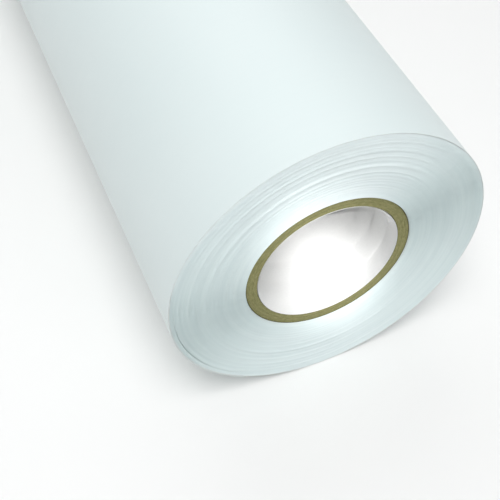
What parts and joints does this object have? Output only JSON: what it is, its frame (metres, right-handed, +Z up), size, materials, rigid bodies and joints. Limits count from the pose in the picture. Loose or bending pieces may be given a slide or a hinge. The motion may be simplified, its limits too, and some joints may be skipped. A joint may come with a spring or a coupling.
{
  "type": "sign vinyl roll",
  "caption": "Wide roll of white self-adhesive sign vinyl wound face out on a thick paperboard core, lying on its side, with a free tail that lifts and a film edge that peels from its liner.",
  "frame": {"origin": "on the floor under the middle of the roll, which lies on its side: the bottom centre of its box", "axes": "+Y along the roll's axis from its dished near end to its domed far end, +X to the right of the near end seen from outside, +Z up"},
  "size_m": [0.17, 0.613, 0.17],
  "materials": {
    "vinyl_film": "white calendered PVC film, soft gloss, slightly cool",
    "web_edges": "slit edges of white film and liner, satin, in faint rings",
    "release_liner": "silicone coated white kraft liner, satin",
    "core_board": "olive-brown recycled core board, matt and fibrous",
    "lining_paper": "off-white lining paper, matt, with a spiral butt seam",
    "starter_tape": "thin double-sided tape"
  },
  "bodies": {
    "wound_roll": {"core_inner_ply": "lining_paper", "core_board_ply_1": "core_board", "core_board_ply_2": "core_board", "core_board_ply_3": "core_board", "core_board_ply_4": "core_board", "core_board_ply_5": "core_board", "core_board_ply_6": "core_board", "core_outer_ply": "core_board", "starter_tape": "starter_tape", "vinyl_turns_1": "web_edges", "vinyl_turns_2": "web_edges", "vinyl_turns_3": "web_edges", "vinyl_turns_4": "web_edges", "vinyl_turns_5": "web_edges", "vinyl_turns_6": "web_edges", "vinyl_turns_7": "web_edges", "vinyl_turns_8": "web_edges", "outer_turn_film": "vinyl_film", "outer_turn_liner": "release_liner"},
    "tail": {"tail_film": "vinyl_film", "tail_liner": "release_liner"},
    "peeled_edge": {"film_edge": "vinyl_film"}
  },
  "joints": [
    {"name": "tail_lift", "type": "hinge", "parent": "wound_roll", "child": "tail", "pos_m": [-0.08435, 0, 0.0739], "axis": [0, 1, 0], "range_deg": [0, 75], "stiffness_Nm_per_rad": 0.03, "springref_deg": -3.44},
    {"name": "film_peel", "type": "hinge", "parent": "tail", "child": "peeled_edge", "pos_m": [-0.06761, 0, 0.03312], "axis": [0, 1, 0], "range_deg": [0, 120]}
  ]
}
